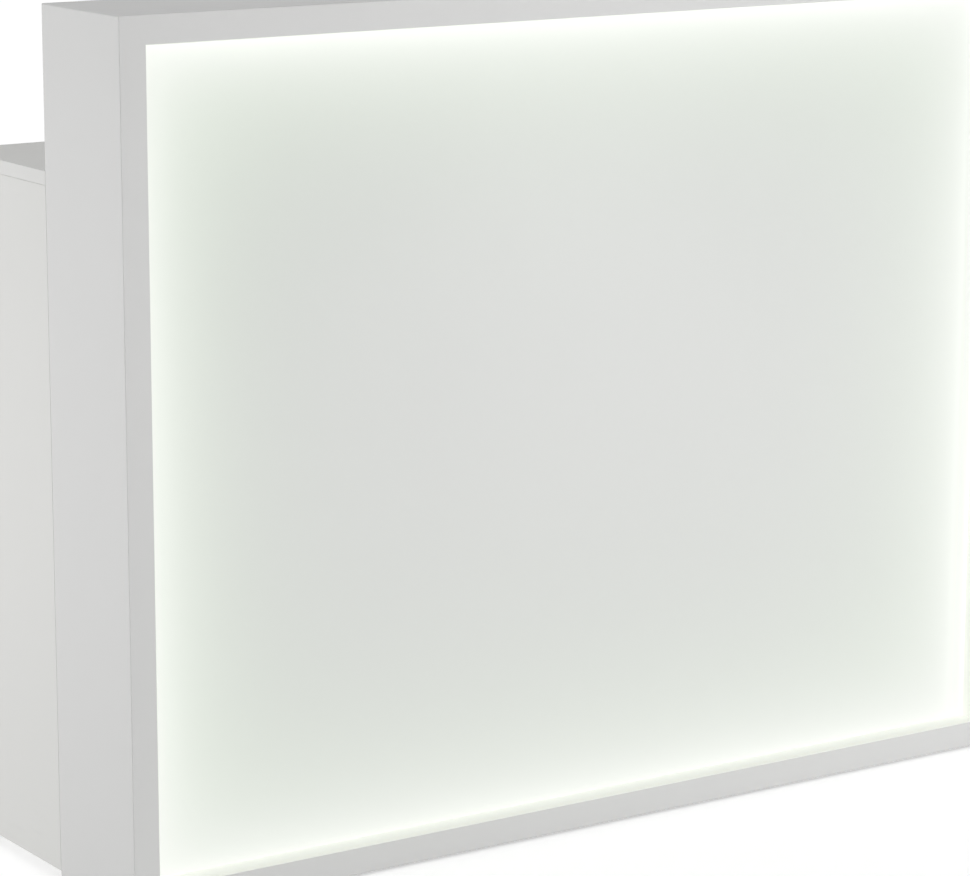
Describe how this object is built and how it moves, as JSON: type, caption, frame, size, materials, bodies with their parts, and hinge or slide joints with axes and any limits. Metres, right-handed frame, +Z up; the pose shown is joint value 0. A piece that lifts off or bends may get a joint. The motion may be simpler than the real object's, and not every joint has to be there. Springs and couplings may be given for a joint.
{
  "type": "reception desk",
  "caption": "Reception desk with a thick white frame round a recessed, edge-lit opal front, a lower worktop on gables behind it, cable outlets, cable trough and levelling feet.",
  "frame": {"origin": "on the floor under the middle of the desk's outline", "axes": "+Z up, +X to the right of a customer who faces the front, +Y from the front to the staff side"},
  "size_m": [1.39, 0.445, 1.105],
  "materials": {
    "white_lacquer": "satin white lacquer on fibreboard",
    "white_laminate": "white melamine on particle board, satin",
    "white_edging": "white plastic edge band, satin",
    "opal_acrylic": "frosted opal acrylic, lit from its edges",
    "white_hardboard": "white painted hardboard",
    "aluminium_profile": "satin anodised extrusion",
    "light_tape": "white circuit tape with light chips",
    "zinc_steel": "bright zinc plate",
    "zinc_casting": "raw zinc casting",
    "beech": "planed beech",
    "grey_powder_coat": "fine grey powder coat",
    "grommet_plastic": "light grey moulded plastic",
    "black_plastic": "black moulded plastic, fine spark texture",
    "rocker_plastic": "glossy black plastic",
    "inlet_brass": "bright brass",
    "lead_sheath": "light grey flexible sheath",
    "bush_rubber": "black rubber",
    "foot_plastic": "black nylon",
    "foot_steel": "zinc-plated threaded steel"
  },
  "bodies": {
    "desk": {"access_panel": "white_laminate", "apron_rail": "white_laminate", "batten_screws": "zinc_steel", "bottom_board": "white_lacquer", "cable_tray": "grey_powder_coat", "cam_bolts": "zinc_steel", "cam_discs": "zinc_casting", "corner_brackets": "zinc_steel", "diffuser_panel": "opal_acrylic", "dowels": "beech", "driver_body": "aluminium_profile", "driver_inlet_end": "black_plastic", "driver_output_end": "black_plastic", "driver_screws": "zinc_steel", "foot_inserts": "inlet_brass", "inlet_pins": "inlet_brass", "lead_bush": "bush_rubber", "led_channel_bottom": "aluminium_profile", "led_channel_left": "aluminium_profile", "led_channel_right": "aluminium_profile", "led_channel_top": "aluminium_profile", "led_lead": "lead_sheath", "led_tape_bottom": "light_tape", "led_tape_left": "light_tape", "led_tape_right": "light_tape", "led_tape_top": "light_tape", "left_gable": "white_laminate", "left_gable_edging": "white_edging", "left_grommet_ring": "grommet_plastic", "left_side_board": "white_lacquer", "lower_rear_panel": "white_laminate", "panel_screws": "zinc_steel", "reflector_panel": "white_hardboard", "right_gable": "white_laminate", "right_gable_edging": "white_edging", "right_grommet_ring": "grommet_plastic", "right_side_board": "white_lacquer", "top_board": "white_lacquer", "tray_screws": "zinc_steel", "worktop": "white_laminate", "worktop_batten": "beech", "worktop_edging": "white_edging"},
    "left_cap": {"left_grommet_cap": "grommet_plastic"},
    "right_cap": {"right_grommet_cap": "grommet_plastic"},
    "rocker": {"rocker_switch": "rocker_plastic"},
    "front_left_leveller": {"front_left_foot": "foot_plastic", "front_left_stud": "foot_steel"},
    "front_right_leveller": {"front_right_foot": "foot_plastic", "front_right_stud": "foot_steel"},
    "middle_left_leveller": {"middle_left_foot": "foot_plastic", "middle_left_stud": "foot_steel"},
    "middle_right_leveller": {"middle_right_foot": "foot_plastic", "middle_right_stud": "foot_steel"},
    "rear_left_leveller": {"rear_left_foot": "foot_plastic", "rear_left_stud": "foot_steel"},
    "rear_right_leveller": {"rear_right_foot": "foot_plastic", "rear_right_stud": "foot_steel"}
  },
  "joints": [
    {"name": "left_cap_turn", "type": "hinge", "parent": "desk", "child": "left_cap", "pos_m": [-0.3, 0.0875, 0.902], "axis": [0, 0, 1], "continuous": true},
    {"name": "right_cap_turn", "type": "hinge", "parent": "desk", "child": "right_cap", "pos_m": [0.3, 0.0875, 0.902], "axis": [0, 0, 1], "continuous": true},
    {"name": "rocker_tilt", "type": "hinge", "parent": "desk", "child": "rocker", "pos_m": [0.3742, -0.0085, 0.758], "axis": [0, 0, 1], "range_deg": [-16, 0]},
    {"name": "front_left_level", "type": "slide", "parent": "desk", "child": "front_left_leveller", "axis": [0, 0, -1], "range_m": [0, 0.012]},
    {"name": "front_right_level", "type": "slide", "parent": "desk", "child": "front_right_leveller", "axis": [0, 0, -1], "range_m": [0, 0.012]},
    {"name": "middle_left_level", "type": "slide", "parent": "desk", "child": "middle_left_leveller", "axis": [0, 0, -1], "range_m": [0, 0.012]},
    {"name": "middle_right_level", "type": "slide", "parent": "desk", "child": "middle_right_leveller", "axis": [0, 0, -1], "range_m": [0, 0.012]},
    {"name": "rear_left_level", "type": "slide", "parent": "desk", "child": "rear_left_leveller", "axis": [0, 0, -1], "range_m": [0, 0.012]},
    {"name": "rear_right_level", "type": "slide", "parent": "desk", "child": "rear_right_leveller", "axis": [0, 0, -1], "range_m": [0, 0.012]}
  ]
}
